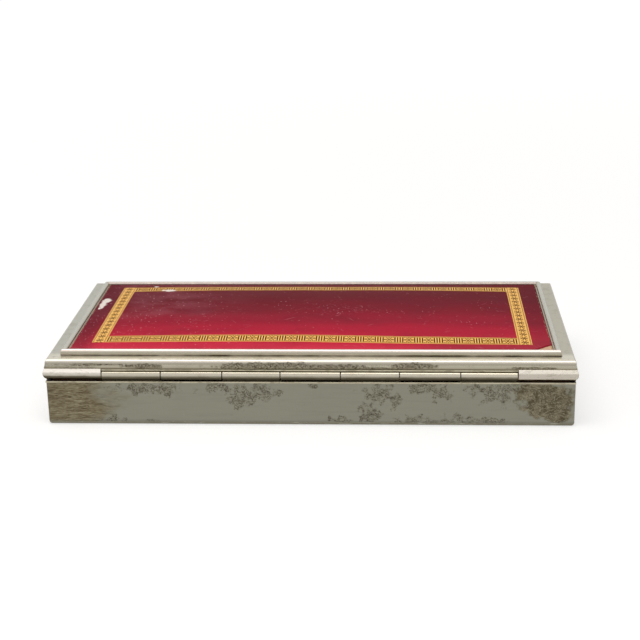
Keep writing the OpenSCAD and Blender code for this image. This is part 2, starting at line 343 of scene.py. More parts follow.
def moulding_finish():
    """The lid's moulding: dull ledge, bright shoulder, and a hollow face that darkens downwards in
    tarnish and painted shade.
    """
    f = Finish("plate_moulding")
    # The face darkens downwards, partly tarnish and partly painted shade, with painted shade in the
    # groove above the beads
    level = f.sum(f.z, f.about_zero(f.noise(6, 2.0, stretch=(3, 3, 1)), 0.5))
    face = f.ramp(level, [
        (BEAD_TOP - 1.0, BROWN), (BEAD_TOP - 0.2, OLIVE), (LEDGE_Z - 3.6, GREY),
        (LEDGE_Z - 2.4, DULL), (LEDGE_Z - 1.5, srgb(208, 200, 185)), (LEDGE_Z - 0.8, SHOULDER),
        (LEDGE_Z - 0.1, SHOULDER),
    ])
    film = f.mix(f.noise(14, 4.0, 0.6), srgb(206, 204, 194), srgb(192, 191, 179))
    film = f.over(film, srgb(196, 188, 166), f.step(f.x, -60, -140), 0.5)
    # The rear ledge is paler: painted reflection
    film = f.mix(f.step(f.y, FRAME_Y - 6, FRAME_Y), film, srgb(228, 223, 207))
    film = f.over(film, OLIVE, speckle(f, 1.2, 0.3, 2.2), 0.26)
    upward = f.step(f.nz, 0.86, 0.97)
    colour = f.mix(upward, face, film)
    # A dark seam where the raised frame stands on the ledge: tarnish and painted shade
    past_x = f.less(f.math("ABSOLUTE", f.x), FRAME_X)
    past_y = f.less(f.math("ABSOLUTE", f.y), FRAME_Y)
    away = f.math("MAXIMUM", past_x, past_y)
    seam = f.step(f.sum(away, f.scale(f.noise(3.0, 3.0), -0.5, 0.5)), 0.75, 0.2)
    seam = f.times(f.times(upward, seam), f.step(f.noise(9, 3.0, seed=2.0), 0.36, 0.56))
    colour = f.over(colour, SHADE_AND_TARNISH, seam, 0.7)
    # Tarnish settles in the hollow: thinly all round, and in the patches that the photograph shows
    hollow = f.flip(upward)
    low = f.times(f.step(f.z, LEDGE_Z - 1.5, LEDGE_Z - 2.8), hollow)
    thin = f.times(low, f.step(f.noise(30, 2.0, stretch=(1, 1, 0.6), seed=1.3), 0.5, 0.64))
    known = f.times(f.times(rear_side(f), hollow), f.spots(f.x, f.z, MOULDING_PATCHES, 0.8, 4.0))
    colour = f.over(colour, srgb(124, 113, 88), known, 0.4)
    grain = f.noise(0.6, 4.0, 0.75, (1.5, 1.5, 1), warp=0.8, seed=6.0)
    patch = f.times(f.plus(f.times(thin, 0.6), known), f.step(grain, 0.46, 0.54))
    colour = f.over(colour, srgb(56, 46, 30), patch, 0.85)
    rough = f.scale(f.plus(f.times(patch, 0.8), f.times(upward, 0.35)), 0.2, 0.5)
    return plated(f, colour, rough, 0.05)


def frame_finish(name, crest, shade, groove):
    """The raised frame: brown towards its foot, in tarnish and painted shade, and inside it a groove
    over a lip that is painted bright as lit.
    """
    f = Finish(name)
    lip = srgb(210, 178, 166)
    # Up the outer side: tarnish and painted shade at the foot, rising to painted light at the crest
    rise = f.ramp(f.z, [
        (LEDGE_Z + 0.1, SHADE_AND_TARNISH), (LEDGE_Z + 0.5, BROWN), (LEDGE_Z + 0.9, GREY),
        (LEDGE_Z + 1.8, DULL), (FRAME_TOP - 0.9, shade), (FRAME_TOP - 0.3, crest),
    ])
    rub = f.step(f.noise(18, 3.0, 0.6, (1.5, 1.5, 1), seed=4.4), 0.35, 0.65)
    foot = f.step(f.z, LEDGE_Z + 1.9, LEDGE_Z + 0.9)
    colour = f.over(rise, shade, rub, f.times(foot, 0.45))
    colour = f.over(colour, DULL, speckle(f, 0.8, 0.25, 9.0), 0.3)
    # The inner face: painted shade at the bottom by the leather, a lip painted bright as lit, and the
    # groove colour above it
    inside = f.ramp(f.z, [
        (EDGE_Z - 1.4, SHADE_AND_TARNISH), (EDGE_Z - 0.7, lip), (EDGE_Z - 0.05, lip),
        (EDGE_Z + 0.2, groove), (EDGE_Z + 0.75, groove), (FRAME_TOP, shade),
    ])
    away = f.math("MAXIMUM", f.by(f.math("SIGN", f.y), f.ny), f.by(f.math("SIGN", f.x), f.nx))
    inward = f.times(f.step(away, 0.02, -0.12), f.step(f.nz, 0.98, 0.92))
    colour = f.mix(inward, colour, inside)
    return plated(f, colour, 0.26, 0.05)


def bead_finish(name, turn, bright, middle, low=SHADE_AND_TARNISH):
    """Beads and knuckles: a painted highlight above, and painted shade where the normal's Z is under
    turn.
    """
    f = Finish(name)
    turned = f.sum(f.nz, f.about_zero(f.noise(8, 2.0), 0.25))
    # Colour by the normal's Z: painted highlight on the upper side, painted shade on the lower side
    colour = f.ramp(f.less(turned, turn), [
        (-1.1, low), (-0.5, srgb(78, 70, 56)), (-0.16, srgb(110, 102, 84)), (0.06, middle),
        (0.22, bright), (0.5, bright), (1.0, middle),
    ])
    colour = f.over(colour, OLIVE, speckle(f, 0.6, 0.25, 3.0, (3, 3, 1)), 0.22)
    return plated(f, colour, 0.23, 0.03)


def wall_finish():
    """The body's wall: dull grey, with brown tarnish at the ends and creeping in from the rim."""
    f = Finish("plate_wall")
    colour = f.mix(f.noise(40, 2.0, seed=1.0), srgb(158, 157, 142), srgb(168, 165, 149))
    streak = f.step(f.noise(1.6, 4.0, 0.6, stretch=(14, 14, 1), seed=4), 0.45, 0.7)
    colour = f.over(colour, srgb(138, 137, 125), streak, 0.2)
    # Brown film at the two ends: in wavy lines on the right, mottled on the left
    side = f.sum(f.x, f.scale(f.noise(13, 4.0, 0.6, (1.6, 1.6, 1)), -22, 22))
    wavy = f.step(side, 104, 124)
    rear = rear_side(f)
    crusted = f.spots(f.x, f.z, CRUST_PATCHES, 0.7, 6.0, 5.0)
    mottled = f.plus(f.times(crusted, rear), f.times(f.step(side, -114, -122), f.flip(rear)))
    strength = f.scale(f.step(f.y, WALL_HIGH.y - 4, WALL_HIGH.y - 40), 0.92, 0.5)
    waves = f.noise(0.75, 3.0, 0.65, (7, 7, 1), warp=1.1, seed=2.0)
    film = f.ramp(waves, [
        (0.3, srgb(80, 66, 44)), (0.43, srgb(116, 102, 76)), (0.52, srgb(142, 130, 103)),
        (0.61, srgb(154, 144, 117)), (0.73, srgb(196, 184, 152)),
    ])
    blotch = f.step(f.noise(5.0, 4.0, 0.65, seed=9.0), 0.35, 0.65)
    crust = f.mix(blotch, srgb(92, 80, 58), OLIVE)
    crust = f.over(crust, srgb(182, 174, 148), f.worms(3.4, 0.04, (1.8, 1.8, 1), 9.0, 1.6), 0.6)
    crust = f.over(crust, srgb(62, 52, 36), f.worms(2.6, 0.03, (1.8, 1.8, 1), 14.0, 1.6), 0.7)
    colour = f.over(colour, film, wavy, strength)
    colour = f.over(colour, crust, mottled, strength)
    # Patches with a fine winding grain: those the photograph shows, and others on the other sides
    known = f.times(rear, f.spots(f.x, f.z, WALL_PATCHES, 1.7, 5.0, 2.0))
    depth = f.less(WALL_HIGH.z, f.z)
    reach = f.scale(f.noise(24, 2.0, stretch=(1, 1, 9), seed=7.7), -9.0, 14.0)
    hang = f.step(f.less(reach, depth), -1.0, 3.5)
    area = f.plus(known, f.times(hang, f.flip(rear)))
    lines = f.worms(1.25, 0.056, (1.5, 1.5, 1), 5.0)
    lines = f.times(lines, f.step(f.noise(3.5, 2.0, seed=6.0), 0.3, 0.48))
    lines = f.plus(lines, f.times(speckle(f, 0.6, 0.2, 11.0, (1.8, 1.8, 1)), 0.8))
    colour = f.over(colour, srgb(128, 118, 98), area, 0.1)
    colour = f.over(colour, srgb(78, 68, 50), f.times(area, lines), 0.9)
    edge = f.step(f.z, WALL_LOW.z + 1.6, WALL_LOW.z + 0.2)
    colour = f.over(colour, srgb(112, 112, 102), edge, 0.4)
    rough = f.scale(f.plus(f.times(f.plus(wavy, mottled), 0.5), area), 0.32, 0.52)
    return f.finish(colour, rough, f.bump(waves, 0.01, plate_normal(f, 0.05)), Metallic=1.0)


def base_finish():
    """The base: the same plate, scuffed underneath."""
    f = Finish("plate_base")
    colour = f.mix(f.noise(22, 4.0, 0.6), srgb(150, 147, 130), srgb(128, 120, 100))
    scuff = f.step(f.noise(0.7, 3.0, stretch=(9, 1.2, 1), warp=0.6), 0.6, 0.68)
    colour = f.over(colour, FILM, scuff, 0.5)
    return plated(f, colour, 0.42, 0.05)


def strip_finish():
    """The strips that carry the hinge, and the wire of the rim."""
    f = Finish("plate_strip")
    blotch = f.noise(7, 3.0, stretch=(2, 2, 1), seed=5.0)
    colour = f.mix(blotch, srgb(232, 224, 200), srgb(200, 188, 158))
    colour = f.over(colour, OLIVE, speckle(f, 0.7, 0.4, 1.0, (3, 3, 1)), 0.5)
    # Upward faces are greyer: painted shade
    colour = f.mix(f.step(f.nz, 0.5, 0.8), colour, GREY)
    return plated(f, colour, 0.32, 0.02)


def inner_plate_finish():
    f = Finish("plate_inside")
    colour = f.mix(f.noise(9, 4.0, 0.6), srgb(190, 186, 170), srgb(160, 152, 132))
    return plated(f, colour, 0.35, 0.03)


def pin_finish():
    f = Finish("steel_pin")
    colour = f.mix(f.noise(1.5, 3.0), srgb(132, 128, 120), srgb(90, 80, 68))
    return plated(f, colour, 0.38, 0.01)


def flaked(f):
    """1 where the leather's glaze is gone, through the gilding too."""
    return f.spots(f.x, f.y, CHIPS, 1.0, 2.2, 3.0)


def scratches(f, scuffed):
    """1 along fine scratches in three directions, with more and shorter ones where it is scuffed."""
    lines = 0.0
    for turn, seed in ((0.2, 1.0), (1.1, 4.0), (-0.7, 7.0)):
        sine, cosine = math.sin(turn), math.cos(turn)
        across = f.sum(f.by(f.x, sine), f.by(f.y, cosine))
        down = f.less(f.by(f.x, cosine), f.by(f.y, sine))
        place = f.join(f.by(across, 1.6), f.by(down, 0.07), seed)
        field = f.add("TexNoise", {"Vector": place, "Scale": 1.0, "Detail": 2.0}).outputs[0]
        line = f.times(f.step(field, 0.685, 0.72), f.step(f.noise(9, 1.0, seed=seed), 0.5, 0.62))
        short = f.times(f.step(field, 0.63, 0.67), f.step(f.noise(2.2, 1.0, seed=seed + 2), 0.5, 0.6))
        lines = f.plus(lines, f.plus(line, f.times(f.times(scuffed, 0.7), short)))
    return lines


def leather_finish():
    """Glazed red calf: brighter towards the rear as painted light, with scratches, specks and chips."""
    f = Finish("leather_red")
    # Dark at the front to bright crimson at the rear: painted light and painted reflection
    along = f.sum(f.y, f.scale(f.noise(55, 2.0, stretch=(2.5, 1, 1), seed=2.0), -16, 16))
    colour = f.ramp(along, [
        (-62, srgb(98, 16, 28)), (-34, srgb(100, 14, 28)), (-8, srgb(118, 15, 34)),
        (14, srgb(146, 18, 43)), (32, srgb(172, 26, 52)), (48, srgb(194, 38, 62)),
        (62, srgb(206, 50, 74)),
    ])
    cloud = f.noise(30, 4.0, 0.55, (1.6, 1, 1), seed=6.0)
    colour = f.over(colour, srgb(96, 30, 44), f.step(cloud, 0.45, 0.75), 0.35)
    # A worn bloom on the right part of the panel, as dry leather shows
    bloom = f.times(f.step(f.x, 30, 95), f.step(f.y, 22, -6))
    bloom = f.times(bloom, f.step(f.noise(16, 5.0, 0.7, (1.6, 1, 1), seed=9.0), 0.34, 0.72))
    colour = f.over(colour, srgb(172, 104, 116), bloom, 0.24)
    # The two ends have darkened with age, the right one more
    ends = f.times(f.step(f.math("ABSOLUTE", f.x), 120, 133), f.step(f.y, 110, 34))
    more = f.scale(f.step(f.x, -20, 20), 0.35, 0.72)
    colour = f.over(colour, srgb(92, 14, 30), ends, more)
    # The strip behind the border is duller on the left
    strip = f.times(f.step(f.x, -30, -95), f.step(f.y, 34, 52))
    colour = f.over(colour, srgb(132, 36, 46), strip, 0.55)
    # Scratches, and pale specks that crowd in places
    scuffed = f.spots(f.x, f.y, SCUFFS, 0.9, 5.0, 1.0)
    lines = scratches(f, scuffed)
    colour = f.over(colour, srgb(206, 120, 134), lines, 0.5)
    ragged = f.about_zero(f.noise(0.5, 3.0, 0.7), 0.5)
    specks = f.step(f.sum(f.cells(2.0, stretch=(1, 1.8, 1), seed=3.0), ragged), 0.15, 0.08)
    crowded = f.plus(f.step(f.noise(16, 3.0, seed=12.0), 0.52, 0.66), f.times(f.step(f.x, 20, 80), 0.6))
    crowded = f.plus(crowded, f.times(f.step(f.x, 55, 85), f.step(f.y, 30, 5)))
    crowded = f.plus(crowded, scuffed)
    specks = f.times(specks, f.times(crowded, f.step(f.noise(3.0, 2.0, seed=5.0), 0.38, 0.5)))
    colour = f.over(colour, srgb(228, 176, 184), specks, 0.64)
    chips = flaked(f)
    colour = f.mix(chips, colour, f.mix(f.noise(0.8, 3.0), srgb(240, 234, 228), srgb(214, 200, 190)))
    # The worn edges are pale and fibrous
    edge_x = f.step(f.math("ABSOLUTE", f.x), PANEL_X - 1.3, PANEL_X - 0.3)
    edge_y = f.step(f.math("ABSOLUTE", f.y), PANEL_Y - 1.1, PANEL_Y - 0.3)
    worn = f.times(f.plus(edge_x, edge_y), f.step(f.noise(3.0, 4.0, 0.7, seed=2.5), 0.5, 0.62))
    colour = f.over(colour, srgb(190, 140, 118), worn, 0.7)
    normal = f.bump(f.cells(0.55, "SMOOTH_F1"), 0.02, f.bump(f.noise(14, 2.0), 0.12))
    normal = f.bump(f.flip(f.plus(lines, chips)), 0.05, normal)
    rough = f.scale(f.plus(f.times(cloud, 0.25), chips), 0.3, 0.7)
    return f.finish(colour, rough, normal, Specular_IOR_Level=0.012)


def foil_finish():
    """Gold leaf, thin where it was rubbed."""
    f = Finish("gold_leaf")
    colour = f.mix(f.noise(1.1, 4.0, 0.6), srgb(255, 207, 92), srgb(254, 181, 71))
    rubbed = f.step(f.noise(3.0, 5.0, 0.72, seed=4.0), 0.6, 0.7)
    colour = f.over(colour, srgb(176, 92, 62), rubbed, 0.45)
    chips = flaked(f)
    colour = f.mix(chips, colour, GROUND)
    normal = f.bump(f.noise(0.5, 2.0), 0.015)
    return f.finish(colour, f.scale(rubbed, 0.36, 0.5), normal, Metallic=f.scale(chips, 0.28, 0.0))


def tooled_finish():
    """The leather that shows through the gold where the tool left it bare."""
    f = Finish("tooled_leather")
    colour = f.mix(f.noise(2.0, 3.0), srgb(54, 8, 10), srgb(84, 24, 16))
    colour = f.mix(flaked(f), colour, GROUND)
    return f.finish(colour, 0.4, f.bump(f.noise(0.4, 2.0), 0.01), Specular_IOR_Level=0.012)


def wadding_finish():
    f = Finish("wadding_tan")
    colour = f.mix(f.noise(1.4, 5.0, 0.7), srgb(226, 192, 162), srgb(186, 148, 116))
    fibres = f.noise(0.4, 4.0, 0.7, (3, 1, 1), warp=1.0)
    return f.finish(colour, 0.9, f.bump(fibres, 0.15), Specular_IOR_Level=0.1)


def board_finish():
    f = Finish("millboard_tan")
    colour = f.mix(f.noise(1.8, 5.0, 0.7), srgb(204, 172, 140), srgb(168, 134, 100))
    return f.finish(colour, 0.9, f.bump(f.noise(0.5, 4.0, 0.7), 0.08), Specular_IOR_Level=0.1)


def wood_finish(name, stretch):
    """Waxed cedar, with its grain along the axis that has the long stretch."""
    f = Finish(name)
    sway = f.noise(22, 3.0, stretch=stretch, seed=4.0)
    rings = f.sum(f.by(sway, 60.0), f.by(f.z, 0.9))
    rings = f.math("SINE", rings)
    pores = f.step(f.noise(0.35, 2.0, 0.6, tuple(2.4 * s for s in stretch), seed=7.0), 0.56, 0.68)
    colour = f.mix(f.step(rings, -1.0, 1.0), srgb(142, 92, 56), srgb(108, 64, 38))
    colour = f.over(colour, srgb(160, 104, 62), f.noise(35, 3.0, stretch=stretch), 0.5)
    colour = f.over(colour, srgb(64, 36, 22), pores, 0.55)
    normal = f.bump(f.flip(pores), 0.03, f.bump(rings, 0.01))
    return f.finish(colour, f.scale(pores, 0.42, 0.6), normal, Specular_IOR_Level=0.35)


def velvet_finish():
    """Short-pile velvet, brushed this way and that."""
    f = Finish("velvet_red")
    brushed = f.noise(19, 3.0, 0.5, (1.6, 1, 1), warp=0.6)
    pile = f.noise(0.25, 2.0)
    colour = f.mix(f.step(brushed, 0.3, 0.75), srgb(98, 12, 30), srgb(122, 19, 40))
    colour = f.over(colour, srgb(58, 6, 16), pile, 0.5)
    normal = f.bump(pile, 0.12, f.bump(brushed, 0.2))
    return f.finish(
        colour, 0.95, normal, Specular_IOR_Level=0.08,
        Sheen_Weight=0.5, Sheen_Roughness=0.35, Sheen_Tint=srgb(214, 90, 116))


def satin_finish():
    """Aged cream satin, with its weave along the chest and painted shade in the seams."""
    f = Finish("satin_cream")
    colour = f.mix(f.noise(26, 4.0, 0.6), srgb(228, 212, 180), srgb(208, 186, 148))
    # Darker along the sewn seams: painted shade
    turns = f.by(f.less(f.x, LID_PAD_LOW.x), math.pi / CHANNEL)
    seam = f.math("ABSOLUTE", f.math("SINE", turns))
    colour = f.over(colour, srgb(150, 124, 86), f.step(seam, 0.3, 0.0), 0.6)
    foxing = f.step(f.noise(5, 4.0, 0.65, seed=3.0), 0.66, 0.74)
    colour = f.over(colour, srgb(168, 132, 90), foxing, 0.35)
    creases = f.bump(f.noise(7, 3.0, stretch=(3, 1, 1), warp=1.0), 0.35)
    normal = f.bump(f.noise(0.12, 1.0, stretch=(14, 1, 1)), 0.012, creases)
    return f.finish(
        colour, 0.38, normal, Specular_IOR_Level=0.55, Anisotropic=0.5,
        Sheen_Weight=0.25, Sheen_Roughness=0.4)


def thread_finish():
    f = Finish("thread_cream")
    colour = f.mix(f.noise(0.5, 2.0), srgb(214, 192, 152), srgb(182, 156, 114))
    return f.finish(colour, 0.7, f.bump(f.noise(0.2, 2.0), 0.05))


# Meshes

def new_object(name, points, faces, material):
    """A mesh from points in millimetres."""
    mesh = bpy.data.meshes.new(name)
    mesh.from_pydata([Vector(p) * MM for p in points], [], faces)
    mesh.validate()
    mesh.update()
    mesh.materials.append(material)
    made = bpy.data.objects.new(name, mesh)
    bpy.context.scene.collection.objects.link(made)
    return made


def smooth(obj):
    obj.data.polygons.foreach_set("use_smooth", [True] * len(obj.data.polygons))


def shell(top, bottom):
    """Points and faces of a closed sheet between two grids of points, top above bottom."""
    rows, columns = len(top), len(top[0])
    points = [p for row in top for p in row] + [p for row in bottom for p in row]
    below = rows * columns
    faces = []
    for r in range(rows - 1):
        for c in range(columns - 1):
            a = r * columns + c
            b = a + columns
            faces.append((a, a + 1, b + 1, b))
            faces.append((below + a, below + b, below + b + 1, below + a + 1))
    rim = list(range(columns))
    rim += [r * columns + columns - 1 for r in range(1, rows)]
    rim += [(rows - 1) * columns + c for c in range(columns - 2, -1, -1)]
    rim += [r * columns for r in range(rows - 2, 0, -1)]
    for here, there in zip(rim, rim[1:] + rim[:1]):
        faces.append((here, below + here, below + there, there))
    return points, faces


def layer(name, xs, ys, upper, lower, material):
    """A smooth closed layer; upper and lower give its two faces' points for a place in the grid."""
    top = [[upper(x, y) for x in xs] for y in ys]
    bottom = [[lower(x, y) for x in xs] for y in ys]
    made = new_object(name, *shell(top, bottom), material)
    smooth(made)
    return made


def evenly(low, high, count):
    return [low + (high - low) * i / count for i in range(count + 1)]


def stations(low, high, pitch):
    """Places from low to high, close together at both ends and about pitch apart between them."""
    fine = (0.0, 0.12, 0.28, 0.48, 0.7, 1.0, 1.6)
    inner_low, inner_high = low + 2.6, high - 2.6
    count = max(1, round((inner_high - inner_low) / pitch))
    middle = evenly(inner_low, inner_high, count)
    return [low + d for d in fine] + middle + [high - d for d in reversed(fine)]


def settle(gap, reach):
    """1 at and beyond reach from an edge, falling to 0 at the edge."""
    share = min(1.0, max(0.0, gap / reach))
    return 1.0 - (1.0 - share) ** 2


def leather_z(x, y):
    """Height of the leather's face."""
    dome = DOME_RISE * settle(PANEL_X - abs(x), DOME_REACH_X) * settle(PANEL_Y - abs(y), DOME_REACH_Y)
    wave = 0.12 * noise.noise(Vector((x / 26, y / 26, 2.0))) * min(1.0, dome / 0.6)
    return EDGE_Z + dome * 0.93 + wave


def edge_roll(gap):
    """How far a turned edge lies below the face, at a distance from the edge."""
    inside = max(0.0, EDGE_ROLL - gap)
    return EDGE_ROLL - math.sqrt(max(0.0, EDGE_ROLL ** 2 - inside ** 2))


def tear(y):
    """How much of the panel is missing at its torn corner, along X, for a place along Y."""
    gap = PANEL_Y - y
    if gap > TEAR_Y:
        return 0.0
    ragged = 0.5 * noise.noise(Vector((gap * 1.1, 3.0, 0.0)))
    ragged += 0.25 * noise.noise(Vector((gap * 3.7, 8.0, 0.0)))
    share = 1.0 - gap / TEAR_Y
    return max(0.0, TEAR_X * share ** 0.9 + ragged * min(1.0, 4.0 * share))


def make_leather(material):
    """The leather's skin, with turned edges, drawn back from its torn corner."""
    ys = [y for y in stations(-PANEL_Y, PANEL_Y, 2.2) if y < PANEL_Y - TEAR_Y or y > PANEL_Y - 0.9]
    torn = [PANEL_Y - TEAR_Y + TEAR_Y * i / TEAR_ROWS for i in range(TEAR_ROWS)]
    ys = sorted(set(ys + [y for y in torn if y < PANEL_Y - 0.95]))

    def upper(place, y):
        x = place + tear(y) * max(0.0, 1.0 - (PANEL_X + place) / TEAR_FADE)
        gap = min(PANEL_X - abs(place), PANEL_Y - abs(y))
        return (x, y, leather_z(x, y) - edge_roll(gap))

    def lower(place, y):
        x, y, z = upper(place, y)
        return (x, y, min(z - 0.1, leather_z(x, y) - LEATHER_T + 0.03))

    return layer("leather_top", stations(-PANEL_X, PANEL_X, 2.4), ys, upper, lower, material)


def make_wadding(material):
    """The wadding under the leather, seen at the torn corner."""
    inset, pitch = 0.9, 5.0
    xs = stations(-PANEL_X + inset, PANEL_X - inset, pitch)
    ys = stations(-PANEL_Y + inset, PANEL_Y - inset, pitch)

    def upper(x, y):
        rough = 0.06 * noise.noise(Vector((x / 1.5, y / 1.5, 5.0)))
        return (x, y, max(BOARD_Z + 0.02, leather_z(x, y) - LEATHER_T - 0.09 + rough))

    return layer("wadding_layer", xs, ys, upper, lambda x, y: (x, y, BOARD_Z + 0.003), material)


class Relief:
    """Thin closed pieces that lie on the leather, gathered into one mesh."""

    def __init__(self, low, high):
        self.low, self.high = low, high
        self.points, self.faces = [], []

    def take(self, points, faces):
        start = len(self.points)
        self.points += points
        self.faces += [tuple(start + i for i in face) for face in faces]

    def on(self, x, y, lift):
        """A point above the leather, moved as the askew rear band is."""
        share = min(1.0, max(0.0, (SKEW_FROM - x) / (SKEW_FROM - SKEW_TO)))
        y += SKEW * share * share * (3 - 2 * share) * (y - BORDER_FRONT) / (BORDER_REAR - BORDER_FRONT)
        return (x, y, leather_z(x, y) + lift)

    def sheet(self, grid):
        """A closed sheet over a grid of places."""
        self.take(*shell(*([[self.on(x, y, lift) for x, y in row] for row in grid]
                           for lift in (self.high, self.low))))

    def patch(self, x0, x1, y0, y1, pitch=2.0):
        """A rectangle that follows the leather."""
        xs = evenly(x0, x1, max(1, round(abs(x1 - x0) / pitch)))
        ys = evenly(y0, y1, max(1, round(abs(y1 - y0) / pitch)))
        self.sheet([[(x, y) for x in xs] for y in ys])

    def stroke(self, x0, y0, x1, y1, width):
        """A straight bar from one point to another, in short steps that follow the leather."""
        run = Vector((x1 - x0, y1 - y0))
        side = Vector((-run.y, run.x)).normalized() * width / 2
        count = max(1, math.ceil(run.length / 1.2))
        ends = [(x0 + run.x * i / count, y0 + run.y * i / count) for i in range(count + 1)]
        self.sheet([[(x + way * side.x, y + way * side.y) for x, y in ends] for way in (-1, 1)])

    def around(self, x, y, radii, sides):
        """Points round a middle: above and then below, at each radius."""
        turns = [2 * math.pi * i / sides for i in range(sides)]
        return [self.on(x + r * math.cos(t), y + r * math.sin(t), lift)
                for lift in (self.high, self.low) for r in radii for t in turns]

    def dot(self, x, y, radius, sides=8):
        points = self.around(x, y, (radius,), sides)
        faces = [tuple(range(sides)), tuple(range(2 * sides - 1, sides - 1, -1))]
        for i in range(sides):
            j = (i + 1) % sides
            faces.append((i, sides + i, sides + j, j))
        self.take(points, faces)

    def ring(self, x, y, radius, width, sides=14):
        """A ring, as a closed band."""
        points = self.around(x, y, (radius - width / 2, radius + width / 2), sides)
        inner_top, outer_top, inner_low, outer_low = (k * sides for k in range(4))
        faces = []
        for i in range(sides):
            j = (i + 1) % sides
            faces.append((inner_top + i, outer_top + i, outer_top + j, inner_top + j))
            faces.append((inner_low + i, inner_low + j, outer_low + j, outer_low + i))
            faces.append((outer_top + i, outer_low + i, outer_low + j, outer_top + j))
            faces.append((inner_top + i, inner_top + j, inner_low + j, inner_low + i))
        self.take(points, faces)

    def build(self, name, material):
        return new_object(name, self.points, self.faces, material)


def band_lines(relief, reach, middle, width):
    """The two fine lines inside a long band's gold edges."""
    line, inset = 0.42, 0.85
    for side in (-1, 1):
        across = middle + side * (width / 2 - inset)
        relief.patch(-reach, reach, across - line / 2, across + line / 2, 3.0)


def long_motifs(relief, inner, middle, width):
    """Groups of four bars that take turns with a cross between two rings."""
    repeats = 21
    bar_pitch, bar_width = 1.5, 0.74
    cross, cross_width = 1.6, 0.52
    ring_at, corner_at = 1.95, 2.4
    period = 2 * inner / repeats
    reach = width / 2 - 1.55
    for i in range(repeats + 1):
        x = -inner + i * period
        for k in (-1.5, -0.5, 0.5, 1.5):
            place = x + k * bar_pitch
            if abs(place) < inner - 0.4:
                relief.stroke(place, middle - reach, place, middle + reach, bar_width)
        if i == repeats:
            break
        centre = x + period / 2
        for side in (-1, 1):
            relief.stroke(centre - cross, middle - side * reach,
                          centre + cross, middle + side * reach, cross_width)
            relief.ring(centre + side * ring_at, middle, 0.75, 0.44)
            relief.dot(centre + side * ring_at, middle, 0.26)
            relief.dot(centre, middle + side * (reach - 0.35), 0.5)
            for other in (-1, 1):
                relief.dot(centre + side * corner_at, middle + other * (reach - 0.3), 0.36)


def end_motifs(relief, middle):
    """Rosettes between rows of dots."""
    low, high = BORDER_FRONT, BORDER_REAR
    rosettes, petals, dots = 16, 8, 64
    petal_near, petal_far = 1.2, 2.35
    period = (high - low) / rosettes
    for i in range(rosettes):
        y = low + (i + 0.5) * period
        relief.ring(middle, y, 0.75, 0.4, 10)
        relief.dot(middle, y, 0.3, 6)
        for k in range(petals):
            turn = math.pi / 8 + k * math.pi / 4
            across, along = math.cos(turn), math.sin(turn)
            relief.stroke(middle + petal_near * across, y + petal_near * along,
                          middle + petal_far * across, y + petal_far * along, 0.68)
        between = y + period / 2
        for side in (-1, 1):
            relief.stroke(middle + side * 0.5, between, middle + side * 2.0, between, 0.5)
    for i in range(dots):
        y = low + (i + 0.5) * (high - low) / dots
        for side in (-1, 1):
            relief.dot(middle + side * (END_BAND / 2 - 0.78), y, 0.46, 6)


def make_border(foil_material, tooled_material):
    """The border's gold, and above it the figures that the tool left bare."""
    foil = Relief(0.0, FOIL_LIFT)
    tooled = Relief(FOIL_LIFT - 0.01, TOOL_LIFT)
    inner = BORDER_X - END_BAND
    rear_middle = BORDER_REAR - REAR_BAND / 2
    front_middle = BORDER_FRONT + FRONT_BAND / 2
    for middle, width in ((rear_middle, REAR_BAND), (front_middle, FRONT_BAND)):
        foil.patch(-inner, inner, middle - width / 2, middle + width / 2)
        band_lines(tooled, inner, middle, width)
        long_motifs(tooled, inner, middle, width)
    for side in (-1, 1):
        middle = side * (BORDER_X - END_BAND / 2)
        foil.patch(middle - END_BAND / 2, middle + END_BAND / 2, BORDER_FRONT, BORDER_REAR)
        end_motifs(tooled, middle)
    return foil.build("gilt_border", foil_material), tooled.build("border_tooling", tooled_material)


def make_floor_pad(material):
    """A thin velvet pad with rounded edges, pressed flat under the racks."""
    gap, pitch = 0.15, 3.0
    roll_depth, roll_reach, sag_depth = 0.7, 2.2, 0.28
    xs = stations(PAD_LOW.x + gap, PAD_HIGH.x - gap, pitch)
    ys = stations(PAD_LOW.y + gap, PAD_HIGH.y - gap, pitch)
    racks = [low_high(node) for node in ("rack_left", "rack_right")]

    def upper(x, y):
        edge = min(x - xs[0], xs[-1] - x, y - ys[0], ys[-1] - y)
        roll = roll_depth * (1 - min(1.0, edge / roll_reach)) ** 2
        under = any(low.x - 1.0 < x < high.x + 1.0 for low, high in racks)
        dip = 0.5 + 0.5 * noise.noise(Vector((x / 17, y / 17, 1.0)))
        sag = 0.0 if under else sag_depth * dip
        return (x, y, PAD_HIGH.z - 0.02 - roll - sag)

    return layer("velvet_floor_pad", xs, ys, upper, lambda x, y: (x, y, PAD_LOW.z + 0.02), material)


def lid_pad_drop(x, y, low, high):
    """How far the satin hangs below the board: full channels, drawn in at their seams and edges."""
    share = (x - low.x) / CHANNEL
    place = abs((share % 1.0) - 0.5) * 2
    full = math.sqrt(max(0.0, 1 - place ** 2.4))
    ends = min(1.0, min(y - low.y, high.y - y) / 7.0)
    sides = min(1.0, min(x - low.x, high.x - x) / 3.0)
    round_ends = math.sqrt(max(0.0, 1 - (1 - ends) ** 2)) * math.sqrt(max(0.0, 1 - (1 - sides) ** 2))
    gather = 0.1 * noise.noise(Vector((x / 1.6, y / 11, 4.0))) * (1.3 - ends)
    return (0.1 + 0.82 * full) * round_ends + gather * round_ends


